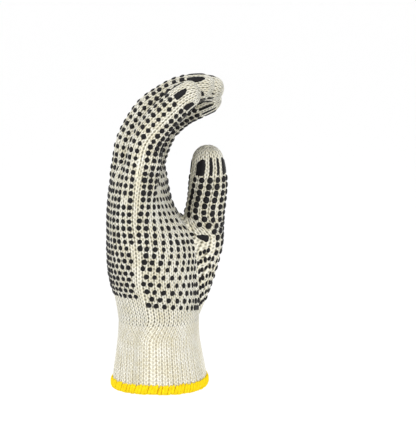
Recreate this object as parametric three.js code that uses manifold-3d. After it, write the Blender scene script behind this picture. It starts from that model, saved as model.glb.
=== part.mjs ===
// A knitted work glove in the shape that a hand gives it: fingers curled, thumb held across the palm.
// Millimetres. The origin is the centre of the wrist opening, +Z runs from the wrist to the fingers,
// +X is the palm side that the fingers curl to, and -Y is the little finger's side.
import * as THREE from 'three';
import { mergeVertices } from 'three/addons/utils/BufferGeometryUtils.js';
import Module from 'manifold-3d';

const wasm = await Module();
wasm.setup();

// Driving dimensions
const knitWall = 2; // thickness of the knitted cloth
const gap = 0.3; // clearance between neighbouring pieces
const cuffWall = 2.4; // the cuff holds an elastic yarn and is thicker
const cuffBottom = 1.6; // lower edge of the cuff, inside its hem
const cuffTop = 46; // height of the join between cuff and hand
const ribCount = 30;
const ribFurrow = 0.9; // depth of the furrow between two ribs
const hemHeight = 6.5; // height of the binding round the edge
const hemThread = 1.3; // thickness of the binding on each face of the cloth
const hemLip = 0.6; // thickness that is left at the binding's upper and lower edges
const tipLength = 0.9; // length of a rounded fingertip as a share of its half width
const thumbFacing = -65; // degrees that the thumb's pad is turned, from the palm side to little finger

// Fineness of the meshes
const digitSides = 16;
const digitSpacing = 9; // distance between two rings along a digit
const tipRings = 4;
const handSides = 40;
const handSpacing = 9;
const cuffSpacing = 12;
const ribPoints = 3; // points across one rib
const hemSides = 48;
const hemSpacing = 2.2;

// The hand's cross-sections from the wrist to the roots of the fingers. thick runs from palm to back
// and broad from side to side. swell is how far the cushion below the thumb lifts the palm, and arch
// is how far both sides of the hand bend towards the palm.
const handSections = [
  { x: -0.5, y: 0, z: 36, thick: 54.5, broad: 61, swell: 0, arch: 0 },
  { x: -0.5, y: 0, z: 46, thick: 55, broad: 62, swell: 0, arch: 0 },
  { x: -1.8, y: -1, z: 62, thick: 56, broad: 70, swell: 0, arch: -1 },
  { x: -4.8, y: -2, z: 78, thick: 57, broad: 78, swell: 2, arch: -2 },
  { x: -6.5, y: -2.5, z: 93, thick: 55.5, broad: 83, swell: 5, arch: -1.5 },
  { x: -9, y: -2.3, z: 106, thick: 50.5, broad: 85.5, swell: 6, arch: 0 },
  { x: -13, y: -1.5, z: 119, thick: 43, broad: 87, swell: 3, arch: 2.5 },
  { x: -15, y: -1, z: 132, thick: 38, broad: 87, swell: 0, arch: 5 },
  { x: -16, y: -0.5, z: 144, thick: 32.5, broad: 85, swell: 0, arch: 7 },
  { x: -15.5, y: 0, z: 156, thick: 22, broad: 82, swell: 0, arch: 7 },
];
const handRoundness = 2.3; // power of the section's superellipse, 2 being an ellipse
const swellCentre = 8; // how far the cushion lies towards the thumb
const swellSpread = 20;

// Centrelines of the fingers and the thumb, from inside the hand to the tip. wide is side to side and
// deep is pad to nail. join is the seam with the hand: its height and its lean towards the palm.
const digits = {
  little_finger: {
    join: { height: 157.5, lean: 0 },
    stations: [
      { x: -14, y: -28, z: 108, wide: 12, deep: 16 },
      { x: -11.5, y: -31, z: 124, wide: 18.5, deep: 23 },
      { x: -8.8, y: -32.5, z: 140, wide: 20.3, deep: 24.5 },
      { x: -5.5, y: -33, z: 157, wide: 20.3, deep: 23.5 },
      { x: -2.5, y: -32.6, z: 172, wide: 20, deep: 22 },
      { x: 5, y: -31.8, z: 185, wide: 19.4, deep: 21 },
      { x: 15.5, y: -30.4, z: 196.5, wide: 18.4, deep: 19.5 },
      { x: 25, y: -29, z: 204, wide: 17.2, deep: 18 },
      { x: 33, y: -28, z: 207, wide: 15.5, deep: 16 },
    ],
  },
  ring_finger: {
    join: { height: 157.5, lean: 0 },
    stations: [
      { x: -17, y: -10.5, z: 116, wide: 17, deep: 19 },
      { x: -19.3, y: -11, z: 142, wide: 21.3, deep: 25 },
      { x: -17.9, y: -11.2, z: 158, wide: 21.2, deep: 24 },
      { x: -15.7, y: -11.2, z: 171.5, wide: 20.8, deep: 22.5 },
      { x: -5.2, y: -10.9, z: 190, wide: 20.2, deep: 21.5 },
      { x: 5.3, y: -10.6, z: 198.6, wide: 19.6, deep: 20.5 },
      { x: 14, y: -10.3, z: 204, wide: 19, deep: 19.8 },
      { x: 24, y: -10, z: 207, wide: 18.3, deep: 19 },
      { x: 34, y: -9.7, z: 208, wide: 17.4, deep: 17.5 },
      { x: 39.5, y: -9.5, z: 207, wide: 16.4, deep: 16.5 },
    ],
  },
  middle_finger: {
    join: { height: 157.5, lean: 0 },
    stations: [
      { x: -18, y: 10.6, z: 116, wide: 17, deep: 19 },
      { x: -20.3, y: 10.8, z: 141, wide: 21.3, deep: 25 },
      { x: -19, y: 10.6, z: 157, wide: 21.2, deep: 24 },
      { x: -16.8, y: 10.6, z: 170, wide: 20.8, deep: 22.5 },
      { x: -7.2, y: 10.4, z: 188, wide: 20.2, deep: 21.5 },
      { x: 3, y: 10.2, z: 197, wide: 19.6, deep: 20.5 },
      { x: 12.5, y: 10, z: 202, wide: 19.2, deep: 19.8 },
      { x: 23, y: 9.7, z: 205, wide: 18.6, deep: 19 },
      { x: 34, y: 9.3, z: 205.7, wide: 17.6, deep: 17.8 },
      { x: 43.5, y: 9, z: 203.6, wide: 16.6, deep: 16.8 },
    ],
  },
  index_finger: {
    join: { height: 157.5, lean: 0 },
    stations: [
      { x: -15, y: 29, z: 116, wide: 17, deep: 19 },
      { x: -15, y: 32, z: 141, wide: 20.8, deep: 24.5 },
      { x: -12.5, y: 32.3, z: 155, wide: 20.8, deep: 23.5 },
      { x: -5, y: 31.8, z: 173, wide: 20.4, deep: 22 },
      { x: 2, y: 31, z: 181, wide: 20, deep: 21 },
      { x: 11.7, y: 30.2, z: 188.5, wide: 19.5, deep: 20.2 },
      { x: 22.5, y: 29.2, z: 193.5, wide: 18.8, deep: 19.4 },
      { x: 31.5, y: 28.2, z: 197, wide: 17.8, deep: 18 },
      { x: 39.5, y: 27.4, z: 198.5, wide: 16.8, deep: 16.8 },
    ],
  },
  thumb: {
    join: { height: 113, lean: 14 },
    stations: [
      { x: 9, y: 10, z: 42, wide: 28, deep: 26 },
      { x: 14.3, y: 15, z: 64, wide: 34.5, deep: 34 },
      { x: 20, y: 18, z: 83, wide: 36, deep: 34 },
      { x: 26, y: 16.5, z: 99, wide: 32.5, deep: 29.5 },
      { x: 28.6, y: 14.5, z: 114, wide: 28.5, deep: 26.5 },
      { x: 31.5, y: 12.5, z: 130, wide: 26.8, deep: 24.5 },
      { x: 32.5, y: 11, z: 146, wide: 25, deep: 22.8 },
      { x: 32, y: 9.5, z: 167, wide: 18.5, deep: 18 },
    ],
  },
};

// The web of the hand, which reaches from the root of the index finger to the root of the thumb
const thumbWeb = {
  stations: [
    { x: -15, y: 28, z: 124, wide: 22, deep: 24 },
    { x: -5, y: 28, z: 111, wide: 25, deep: 29 },
    { x: 6, y: 26, z: 98, wide: 27, deep: 32 },
    { x: 17, y: 22, z: 85, wide: 29, deep: 30 },
  ],
};

// The cuff's outside from the hem to the wrist
const cuffSections = [
  { x: 0, y: 0, z: 0, thick: 66.2, broad: 67, swell: 0, arch: 0 },
  { x: -0.3, y: 0, z: 12, thick: 62.6, broad: 65.5, swell: 0, arch: 0 },
  { x: -0.6, y: 0, z: 24, thick: 58.6, broad: 63.5, swell: 0, arch: 0 },
  { x: -0.8, y: 0, z: 36, thick: 55.8, broad: 62, swell: 0, arch: 0 },
  { x: -0.5, y: 0, z: 46, thick: 55, broad: 62, swell: 0, arch: 0 },
];

const knitColour = new THREE.Color(0.87, 0.86, 0.77);
const ribColour = new THREE.Color(0.85, 0.83, 0.73);
const hemColour = new THREE.Color(0.96, 0.83, 0.1);

// A smooth curve through the named columns of a table
function columnCurve(rows, columns) {
  const points = rows.map((row) => new THREE.Vector3(...columns.map((column) => row[column])));
  return new THREE.CatmullRomCurve3(points, false, 'catmullrom', 0.5);
}

// A closed three.js geometry as a solid that can be joined and cut
function solidFrom(geometry) {
  geometry.deleteAttribute('normal');
  geometry.deleteAttribute('uv');
  const welded = mergeVertices(geometry, 1e-3);
  const corners = welded.index.array;
  const kept = [];
  for (let i = 0; i < corners.length; i += 3) {
    const [a, b, c] = corners.slice(i, i + 3);
    if (a !== b && b !== c && c !== a) kept.push(a, b, c);
  }
  return new wasm.Manifold(new wasm.Mesh({
    numProp: 3,
    vertProperties: new Float32Array(welded.attributes.position.array),
    triVerts: new Uint32Array(kept),
  }));
}

// A lathe whose points are then moved one by one: place gets the angle round the axis, the share of
// the full radius and the distance along the axis
function shapedLathe(profile, sides, place) {
  const geometry = new THREE.LatheGeometry(profile, sides);
  const position = geometry.attributes.position;
  for (let i = 0; i < position.count; i += 1) {
    const side = position.getX(i);
    const front = position.getZ(i);
    const moved = place(Math.atan2(side, front), Math.hypot(side, front), position.getY(i));
    position.setXYZ(i, moved.x, moved.y, moved.z);
  }
  return geometry;
}

// Distances from one end to the other in equal steps no longer than the spacing
function steps(from, to, spacing) {
  const count = Math.max(1, Math.ceil((to - from) / spacing));
  return Array.from({ length: count + 1 }, (_, i) => from + ((to - from) * i) / count);
}

// A finger, thumb or web as a solid tube with a round end, inset on every side
function digitForm(digit, facing, inset) {
  const path = columnCurve(digit.stations, ['x', 'y', 'z']);
  const size = columnCurve(digit.stations, ['wide', 'deep', 'z']);
  const length = path.getLength();
  const last = digit.stations.at(-1);
  const tip = tipLength * ((last.wide + last.deep) / 4 - inset);
  const end = length - inset;
  const profile = [new THREE.Vector2(0, inset)];
  for (const along of steps(inset, end - tip, digitSpacing)) profile.push(new THREE.Vector2(1, along));
  for (let i = 1; i < tipRings; i += 1) {
    const turn = (i / tipRings) * (Math.PI / 2);
    profile.push(new THREE.Vector2(Math.cos(turn), end - tip + tip * Math.sin(turn)));
  }
  profile.push(new THREE.Vector2(0, end));
  return solidFrom(shapedLathe(profile, digitSides, (angle, share, along) => {
    const onPath = THREE.MathUtils.clamp(along, 0, length);
    const t = path.getUtoTmapping(onPath / length);
    const tangent = path.getTangent(t);
    const across = new THREE.Vector3(0, 1, 0).addScaledVector(tangent, -tangent.y).normalize();
    across.applyAxisAngle(tangent, THREE.MathUtils.degToRad(facing));
    const padward = new THREE.Vector3().crossVectors(across, tangent);
    const half = size.getPoint(t);
    return path.getPoint(t)
      .addScaledVector(tangent, along - onPath)
      .addScaledVector(across, Math.sin(angle) * share * (half.x / 2 - inset))
      .addScaledVector(padward, Math.cos(angle) * share * (half.y / 2 - inset));
  }));
}

// A point on a rounded section, which is a superellipse with a bent middle line
function sectionPoint(section, angle, share, inset) {
  const power = 2 / handRoundness;
  const rounded = (value) => Math.sign(value) * Math.abs(value) ** power;
  const y = rounded(Math.sin(angle)) * share * (section.broad / 2 - inset);
  const x = rounded(Math.cos(angle)) * share * (section.thick / 2 - inset);
  const bend = section.arch * (y / (section.broad / 2)) ** 2;
  const cushion = section.swell * share * Math.exp(-(((y - swellCentre) / swellSpread) ** 2));
  const lift = Math.max(0, Math.cos(angle)) * cushion;
  return new THREE.Vector3(section.x + x + bend + lift, section.y + y, section.z);
}

// Reads every column of a table of sections at a height
function sectionAt(sections, z) {
  const next = Math.max(1, sections.findIndex((section) => section.z >= z));
  const low = sections[next - 1].z;
  const high = sections[next].z;
  const t = (next - 1 + (z - low) / (high - low)) / (sections.length - 1);
  const section = {};
  for (const column of Object.keys(sections[0])) {
    section[column] = columnCurve(sections, [column]).getPoint(t).x;
  }
  return { ...section, z };
}

// A closed plug through the sections of a table. insetAt gives the inset at an angle and a height.
function sectionForm(sections, heights, sides, insetAt) {
  const profile = [new THREE.Vector2(0, heights[0])];
  for (const z of heights) profile.push(new THREE.Vector2(1, z));
  profile.push(new THREE.Vector2(0, heights.at(-1)));
  return solidFrom(shapedLathe(profile, sides, (angle, share, z) => (
    sectionPoint(sectionAt(sections, z), angle, share, insetAt(angle, z))
  )));
}

// Everything below a plane through a point, the plane leaning towards the palm
function below(x, y, z, lean) {
  const reach = 400;
  const block = new THREE.BoxGeometry(reach, reach, reach);
  block.translate(0, 0, -reach / 2);
  block.rotateY(THREE.MathUtils.degToRad(lean));
  block.translate(x, y, z);
  return solidFrom(block);
}

function meshOf(name, solid, colour) {
  const result = solid.getMesh();
  const geometry = new THREE.BufferGeometry();
  geometry.setAttribute('position', new THREE.BufferAttribute(result.vertProperties, 3));
  geometry.setIndex(new THREE.BufferAttribute(result.triVerts, 1));
  geometry.computeVertexNormals();
  const material = new THREE.MeshStandardMaterial({ color: colour, roughness: 0.95, metalness: 0 });
  const mesh = new THREE.Mesh(geometry, material);
  mesh.name = name;
  return mesh;
}

// The point where a digit's centreline crosses a height
function centreAt(digit, height) {
  const points = columnCurve(digit.stations, ['x', 'y', 'z']).getPoints(200);
  return points.find((point) => point.z >= height);
}

function handForm(inset) {
  const heights = steps(handSections[0].z, handSections.at(-1).z - inset, handSpacing);
  return sectionForm(handSections, heights, handSides, () => inset);
}

function cuffForm(bottom, top, sides, insetAt) {
  return sectionForm(cuffSections, steps(bottom, top, cuffSpacing), sides, insetAt);
}

// The hand and its stalls: each stall is a closed tube above its seam, and the hand keeps clear of it
function knitPieces() {
  const pieces = [];
  const stallSpaces = [];
  let outside = handForm(0).add(digitForm(thumbWeb, 0, 0));
  let inside = handForm(knitWall).add(digitForm(thumbWeb, 0, knitWall));
  for (const [name, digit] of Object.entries(digits)) {
    const facing = name === 'thumb' ? thumbFacing : 0;
    const { height, lean } = digit.join;
    const { x, y } = centreAt(digit, height);
    const tube = digitForm(digit, facing, 0);
    const hollow = digitForm(digit, facing, knitWall);
    const stall = tube.subtract(hollow).subtract(below(x, y, height, lean));
    pieces.push(meshOf(name, stall, knitColour));
    stallSpaces.push(digitForm(digit, facing, -gap).subtract(below(x, y, height - gap, lean)));
    outside = outside.add(tube);
    inside = inside.add(hollow);
  }
  let hand = outside.subtract(inside).subtract(below(0, 0, cuffTop, 0));
  for (const space of stallSpaces) hand = hand.subtract(space);
  pieces.push(meshOf('hand_body', hand, knitColour));
  return pieces;
}

// The ribbed tube round the wrist: every rib ends in a furrow
function cuffPiece() {
  const sides = ribCount * ribPoints;
  const ribbed = (angle) => (Math.round((angle * sides) / (2 * Math.PI)) % ribPoints === 0 ? ribFurrow : 0);
  const tube = cuffForm(cuffBottom, cuffTop - gap, sides, ribbed);
  const hollow = cuffForm(0, cuffTop, handSides, () => cuffWall);
  return meshOf('rib_cuff', tube.subtract(hollow), ribColour);
}

// The binding is a rounded band with a slot in which the cuff's lower edge sits
function hemPiece() {
  const swell = (z) => hemLip + (hemThread - hemLip) * Math.sin((Math.PI * z) / hemHeight);
  const heights = steps(0, hemHeight, hemSpacing);
  const outer = sectionForm(cuffSections, heights, hemSides, (angle, z) => -gap - swell(z));
  const inner = sectionForm(cuffSections, heights, hemSides, (angle, z) => cuffWall + gap + swell(z));
  const slotHeights = steps(cuffBottom - gap, cuffTop, cuffSpacing);
  const slotOuter = sectionForm(cuffSections, slotHeights, hemSides, () => -gap);
  const slotInner = sectionForm(cuffSections, slotHeights, hemSides, () => cuffWall + gap);
  const slot = slotOuter.subtract(slotInner);
  return meshOf('overlock_hem', outer.subtract(inner).subtract(slot), hemColour);
}

const glove = new THREE.Group();
glove.name = 'dotted_knit_glove';
glove.add(...knitPieces());
glove.add(cuffPiece());
glove.add(hemPiece());

export default glove;
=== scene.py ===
import math

import bmesh
import bpy
import numpy as np
from mathutils import Matrix, Vector
from mathutils.bvhtree import BVHTree


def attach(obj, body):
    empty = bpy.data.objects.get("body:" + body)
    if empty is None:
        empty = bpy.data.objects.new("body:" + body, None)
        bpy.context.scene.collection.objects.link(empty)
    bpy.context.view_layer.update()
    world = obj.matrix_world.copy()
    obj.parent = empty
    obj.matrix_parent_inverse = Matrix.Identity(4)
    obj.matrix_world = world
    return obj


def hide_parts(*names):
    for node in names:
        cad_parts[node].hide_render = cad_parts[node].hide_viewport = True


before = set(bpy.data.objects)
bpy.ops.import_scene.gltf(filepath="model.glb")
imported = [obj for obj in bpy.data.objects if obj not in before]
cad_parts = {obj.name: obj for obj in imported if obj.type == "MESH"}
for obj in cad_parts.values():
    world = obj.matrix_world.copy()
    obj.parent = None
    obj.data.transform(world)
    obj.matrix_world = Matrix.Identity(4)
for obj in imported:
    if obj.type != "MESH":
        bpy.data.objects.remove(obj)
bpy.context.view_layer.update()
print("frame loaded")

mm = 0.001
chance = np.random.default_rng(11)

# The glove's own sizes are in millimetres, in the frame's axes: +Z to the fingers, +X the palm side,
# -Y the little finger's side. The tables are the ones that the solids are made from.

hand = {
    # x, y, z, thick, broad, swell, arch
    "sections": (
        (-0.5, 0, 36, 54.5, 61, 0, 0),
        (-0.5, 0, 46, 55, 62, 0, 0),
        (-1.8, -1, 62, 56, 70, 0, -1),
        (-4.8, -2, 78, 57, 78, 2, -2),
        (-6.5, -2.5, 93, 55.5, 83, 5, -1.5),
        (-9, -2.3, 106, 50.5, 85.5, 6, 0),
        (-13, -1.5, 119, 43, 87, 3, 2.5),
        (-15, -1, 132, 38, 87, 0, 5),
        (-16, -0.5, 144, 32.5, 85, 0, 7),
        (-15.5, 0, 156, 22, 82, 0, 7),
    ),
    "roundness": 2.3,
    "swellCentre": 8,
    "swellSpread": 20,
    "wall": 2.0,
    "wrist": 46.0,  # where the ribbed cuff begins
    "sides": 96,
    "ringGap": 2.5,
    "voxel": 0.93,
    "innerVoxel": 2.4,
    "relaxRounds": 6,
    # the web between thumb and palm is smoothed more, between these heights
    "webRounds": 40,
    "webFrom": (48, 62),
    "webTo": (125, 140),
}

digits = {
    # facing in degrees, join height, then x, y, z, wide, deep of each station
    "little": (0, 157.5, (
        (-14, -28, 108, 12, 16),
        (-11.5, -31, 124, 18.5, 23),
        (-8.8, -32.5, 140, 20.3, 24.5),
        (-5.5, -33, 157, 20.3, 23.5),
        (-2.5, -32.6, 172, 20, 22),
        (5, -31.8, 185, 19.4, 21),
        (15.5, -30.4, 196.5, 18.4, 19.5),
        (25, -29, 204, 17.2, 18),
        (33, -28, 207, 15.5, 16),
    )),
    "ring": (0, 157.5, (
        (-17, -10.5, 116, 17, 19),
        (-19.3, -11, 142, 21.3, 25),
        (-17.9, -11.2, 158, 21.2, 24),
        (-15.7, -11.2, 171.5, 20.8, 22.5),
        (-5.2, -10.9, 190, 20.2, 21.5),
        (5.3, -10.6, 198.6, 19.6, 20.5),
        (14, -10.3, 204, 19, 19.8),
        (24, -10, 207, 18.3, 19),
        (34, -9.7, 208, 17.4, 17.5),
        (39.5, -9.5, 207, 16.4, 16.5),
    )),
    "middle": (0, 157.5, (
        (-18, 10.6, 116, 17, 19),
        (-20.3, 10.8, 141, 21.3, 25),
        (-19, 10.6, 157, 21.2, 24),
        (-16.8, 10.6, 170, 20.8, 22.5),
        (-7.2, 10.4, 188, 20.2, 21.5),
        (3, 10.2, 197, 19.6, 20.5),
        (12.5, 10, 202, 19.2, 19.8),
        (23, 9.7, 205, 18.6, 19),
        (34, 9.3, 205.7, 17.6, 17.8),
        (43.5, 9, 203.6, 16.6, 16.8),
    )),
    "index": (0, 157.5, (
        (-15, 29, 116, 17, 19),
        (-15, 32, 141, 20.8, 24.5),
        (-12.5, 32.3, 155, 20.8, 23.5),
        (-5, 31.8, 173, 20.4, 22),
        (2, 31, 181, 20, 21),
        (11.7, 30.2, 188.5, 19.5, 20.2),
        (22.5, 29.2, 193.5, 18.8, 19.4),
        (31.5, 28.2, 197, 17.8, 18),
        (39.5, 27.4, 198.5, 16.8, 16.8),
    )),
    "thumb": (-65, 113, (
        (9, 10, 42, 28, 26),
        (14.3, 15, 64, 34.5, 34),
        (20, 18, 83, 36, 34),
        (26, 16.5, 99, 32.5, 29.5),
        (28.6, 14.5, 114, 28.5, 26.5),
        (31.5, 12.5, 130, 26.8, 24.5),
        (32.5, 11, 146, 25, 22.8),
        (32, 9.5, 167, 18.5, 18),
    )),
}

thumbWeb = (0, 111, (
    (-15, 28, 124, 22, 24),
    (-5, 28, 111, 25, 29),
    (6, 26, 98, 27, 32),
    (17, 22, 85, 29, 30),
))

stall = {
    "tipLength": 0.9,  # of the mean half width
    "sides": 48,
    "ringGap": 2.0,
    "tipRings": 10,
}

cuff = {
    "sections": (
        (0, 0, 0, 66.2, 67, 0, 0),
        (-0.3, 0, 12, 62.6, 65.5, 0, 0),
        (-0.6, 0, 24, 58.6, 63.5, 0, 0),
        (-0.8, 0, 36, 55.8, 62, 0, 0),
        (-0.5, 0, 46, 55, 62, 0, 0),
    ),
    "bottom": 1.6,
    "wall": 2.4,
    "pointsPerWale": 8,
    "ringGap": 0.7,
    "furrow": 0.7,  # depth between two ribs, low on the cuff
    "furrowBetween": (14, 42),
    "insideRelief": 0.4,  # share of the relief that shows on the inner face
    "twist": 12.0,  # degrees that the wales lean to the back, over the cuff's upper half
    "twistFrom": 53.0,
    "twistTo": 34.0,
}

knit = {
    "walesPerFace": 30,
    "walesPerStall": 9,
    "walesPerThumb": 10,
    "course": 2.7,
    "relief": 0.32,
    "cuffRelief": 0.35,  # share of the relief that is left where hand and cuff meet
    "cuffFade": 6.0,  # height over which the hand's relief comes back
    "seamTurn": 6.0,  # degrees that the side seam drifts to the back, towards the cuff
    "seamTurnBetween": (52, 100),
}


# Curves, sections and stalls


def curveAt(rows, t):
    rows = np.asarray(rows, float)
    padded = np.vstack([2 * rows[0] - rows[1], rows, 2 * rows[-1] - rows[-2]])
    t = np.clip(np.asarray(t, float), 0, len(rows) - 1)
    i = np.minimum(t.astype(int), len(rows) - 2)
    f = (t - i)[..., None]
    before, start, end, after = (padded[i + k] for k in range(4))
    bend = 2 * before - 5 * start + 4 * end - after + f * (3 * (start - end) + after - before)
    return start + 0.5 * f * (end - before + f * bend)


def smoothStep(low, high, value):
    share = np.clip((value - low) / (high - low), 0, 1)
    return share * share * (3 - 2 * share)


def sectionAt(sections, z):
    rows = np.array(sections, float)
    heights = rows[:, 2]
    z = np.clip(z, heights[0], heights[-1])
    low = np.clip(np.searchsorted(heights, z) - 1, 0, len(rows) - 2)
    values = curveAt(rows, low + (z - heights[low]) / (heights[low + 1] - heights[low]))
    values[..., 2] = z
    return values


def rounded(value, power):
    return np.sign(value) * np.abs(value) ** power


def cushionOf(section, y):
    return section[..., 5] * np.exp(-(((y - hand["swellCentre"]) / hand["swellSpread"]) ** 2))


def sectionPoint(section, angle, inset=0.0, share=1.0):
    power = 2 / hand["roundness"]
    halfBroad, halfThick = section[..., 4] / 2, section[..., 3] / 2
    y = rounded(np.sin(angle), power) * share * (halfBroad - inset)
    x = rounded(np.cos(angle), power) * share * (halfThick - inset)
    bend = section[..., 6] * (y / halfBroad) ** 2
    lift = np.maximum(0, np.cos(angle)) * share * cushionOf(section, y)
    return np.stack([section[..., 0] + x + bend + lift, section[..., 1] + y, section[..., 2] + 0 * x], -1)


def sectionAngle(section, points):
    # the angle of a point round the section: 0 on the palm, -90 degrees at the little finger's side
    power = hand["roundness"] / 2
    y = (points[:, 1] - section[:, 1]) / (section[:, 4] / 2)
    x = points[:, 0] - section[:, 0] - section[:, 6] * y**2
    cushion = cushionOf(section, points[:, 1] - section[:, 1])
    angle = np.arctan2(y, x)
    for _ in range(4):
        inner = (x - np.maximum(0, np.cos(angle)) * cushion) / (section[:, 3] / 2)
        angle = np.arctan2(rounded(y, power), rounded(inner, power))
    reach = (np.abs(y) ** hand["roundness"] + np.abs(inner) ** hand["roundness"]) ** (1 / hand["roundness"])
    return angle, reach


def unit(vectors):
    return vectors / np.linalg.norm(vectors, axis=-1, keepdims=True)


def pathOf(facing, join, stations):
    t = np.linspace(0, len(stations) - 1, 260)
    values = curveAt(stations, t)
    centre = values[:, :3]
    along = np.concatenate([[0], np.cumsum(np.linalg.norm(np.diff(centre, axis=0), axis=1))])
    tangent = unit(np.gradient(centre, along, axis=0))
    across = unit(np.array((0, 1, 0)) - tangent * tangent[:, 1:2])
    turn = math.radians(facing)
    across = across * math.cos(turn) + np.cross(tangent, across) * math.sin(turn)
    table = np.hstack([centre, tangent, across, np.cross(across, tangent), values[:, 3:] / 2])
    rising = slice(0, np.argmax(centre[:, 2]) + 1)
    joinAlong = np.interp(join, centre[rising, 2], along[rising])
    return {"along": along, "table": table, "length": along[-1], "join": joinAlong, "joinZ": join}


def readPath(path, along):
    table = path["table"]
    values = np.stack([np.interp(along, path["along"], table[:, k]) for k in range(table.shape[1])], -1)
    return np.split(values, [3, 6, 9, 12], -1)


def stallPoint(path, along, angle, inset=0.0, share=1.0):
    onPath = np.clip(along, 0, path["length"])
    centre, tangent, across, padward, half = readPath(path, onPath)
    side = (np.sin(angle) * share * (half[..., 0] - inset))[..., None]
    front = (np.cos(angle) * share * (half[..., 1] - inset))[..., None]
    return centre + tangent * (along - onPath)[..., None] + across * side + padward * front


def stallRings(path, inset):
    # distance along the path and share of the full width, ring by ring, both ends closed
    half = path["table"][-1, -2:].mean()
    tip = stall["tipLength"] * (half - inset)
    end = path["length"] - inset
    straight = np.linspace(inset, end - tip, max(2, round((end - tip - inset) / stall["ringGap"])))
    turns = np.linspace(0, math.pi / 2, stall["tipRings"])[1:]
    rings = [(inset, 0.0)] + [(a, 1.0) for a in straight]
    return rings + [(end - tip + tip * math.sin(t), max(0.0, math.cos(t))) for t in turns]


def addLoft(bm, sides, rings, place):
    # a grid of quads whose points are moved to the rings one by one, then sewn up
    along, share = (np.array(column)[:, None] for column in zip(*rings))
    angles = np.linspace(-math.pi, math.pi, sides + 1)[None, :]
    points = place(along + 0 * angles, angles + 0 * along, share + 0 * angles)
    made = bmesh.ops.create_grid(bm, x_segments=sides, y_segments=len(rings) - 1, size=1)["verts"]
    for vert in made:
        column = round((vert.co.x + 1) / 2 * sides)
        row = round((vert.co.y + 1) / 2 * (len(rings) - 1))
        vert.co = Vector(points[row, column]) * mm
    bmesh.ops.remove_doubles(bm, verts=made, dist=0.004 * mm)


def piece(name, mesh, material, slotName, *nodes):
    made = bpy.data.objects.new(name, mesh)
    bpy.context.collection.objects.link(made)
    mesh.materials.clear()
    mesh.materials.append(material)
    mesh.polygons.foreach_set("use_smooth", np.ones(len(mesh.polygons), bool))
    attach(made, "root")
    if nodes:
        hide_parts(*nodes)
    return made


def meshFrom(bm, name):
    mesh = bpy.data.meshes.new(name)
    bm.to_mesh(mesh)
    bm.free()
    return mesh


def pointsOf(mesh):
    points = np.empty(len(mesh.vertices) * 3)
    mesh.vertices.foreach_get("co", points)
    return points.reshape(-1, 3)


def normalsOf(mesh):
    normals = np.empty(len(mesh.vertices) * 3)
    mesh.vertex_normals.foreach_get("vector", normals)
    return normals.reshape(-1, 3)


paths = {name: pathOf(*values) for name, values in digits.items()}
webPath = pathOf(*thumbWeb)


# Knit flow: wale, height along the cloth and dot column of every point

dots = {
    "columnsPerStall": 6,
    "firstAngle": 20.0,  # degrees from the stall's side
    "angleStep": 27.0,
    "thumbFirstAngle": 25.0,
    "thumbAngleStep": 26.0,
    "rowGap": 4.75,
    "thumbRowGap": 4.4,
    "bareEdge": 2.4,  # cloth left bare along the index finger's side
    "radius": 1.88,
    "height": 0.8,
    "foot": 0.3,  # where the ball is cut flat below its middle, as a share of its radius
    "raised": 0.08,
    "closest": 3.1,
    "thumbSize": 1.16,
    "backSize": 0.94,
    "bendSize": 0.92,  # of the dots in the bend between the palm and the fingers
    "hollowWide": 1.36,  # width of the dots in the palm's hollow, where the cloth was stretched most
    "hollowFrom": 98.0,
    "hollowSide": -29.0,
    "uneven": (0.92, 1.08),  # sizes of single dots
    "slant": 0.3,
    "firstColumn": -0.3,  # dots before this column are left out
    "firstShifted": 0.2,  # and before this one in a shifted row
    "steepest": 0.8,  # rows or columns across one triangle where the print isn't torn
    "runOnBelow": -8.0,  # distance past the join below which the palm's columns run on
    "bendFrom": 104.0,
    "bendTo": 14.0,  # past the join
    "bendColumn": 4.5,
}

# The print follows the cloth as it was stretched on the form, so its rows and columns are a little uneven:
# height and row, distance from the side seam and column, and the columns' shift in each of the lowest rows.
# A name that ends in Between holds two heights, or distances past a join: where a change starts and ends.

palmPrint = {
    "rows": ((30, -4.8), (54, 0), (59, 1), (82.6, 5), (105.6, 10), (210, 32)),
    "columns": ((-4, -1.6), (3.1, 0), (7.5, 1), (13.2, 2), (19.9, 3), (27.3, 4), (35, 5), (42.6, 6),
                (49.3, 7), (56, 8), (120, 19.7)),
    "length": 117.0,
    "spread": 0.32,  # towards the fingers the columns are this much further apart
    "spreadBetween": (98, 122),
    "shift": 2.8,
    "shiftBetween": (112, 136),
    "phases": (0.5, 0.1, 0.65, 0.3, 0.8, 0.25, 0.5, 0.8),
    "lift": 6.0,  # how much higher a row begins beside the seam than it ends at the thumb
    "lowLift": 3.0,
    "lowLiftBetween": (58, 90),
    "liftReach": 58.0,
}

backPrint = {
    "rows": ((30, -9), (68, 0), (84.3, 4), (110.5, 10), (210, 31)),
    "columns": ((-4, -1.3), (2.2, 0), (120, 24.8)),
    "length": 110.0,
    "phases": (0.25, 0.75, 0.25, 0.75, 0.25, 0.75, 0.3, 0.6, 0.85),
}

thumbPrint = {
    # distance past the join and the degrees that the print turns
    "turns": ((-20, 52), (-7, 46), (-2.5, 29), (0, 17), (3, 5), (7, -5), (12, -7), (15, -7), (28, 1),
              (40, 9)),
    # degrees round the thumb and the distance past the join where its own print ends
    "border": ((-110, 3), (-66, 1.5), (-47, 0.5), (-23, -3.2), (-14, -4), (14, -4.2), (24, -18), (60, -20)),
    "bareStrip": 0.8,
    "palmAngle": -20.0,
    "reach": 1.13,  # the thumb's own cloth is nearer to its middle line than this, in half widths
    "wrapBelow": -110.0,  # degrees, where the far side begins
    "bareAngle": -28.0,  # from here on the palm's print stays below bareRise
    "bareRise": -12.0,
    "blendBetween": (-34, 2),
    "fadeBetween": (1.12, 1.32),
}

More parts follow.
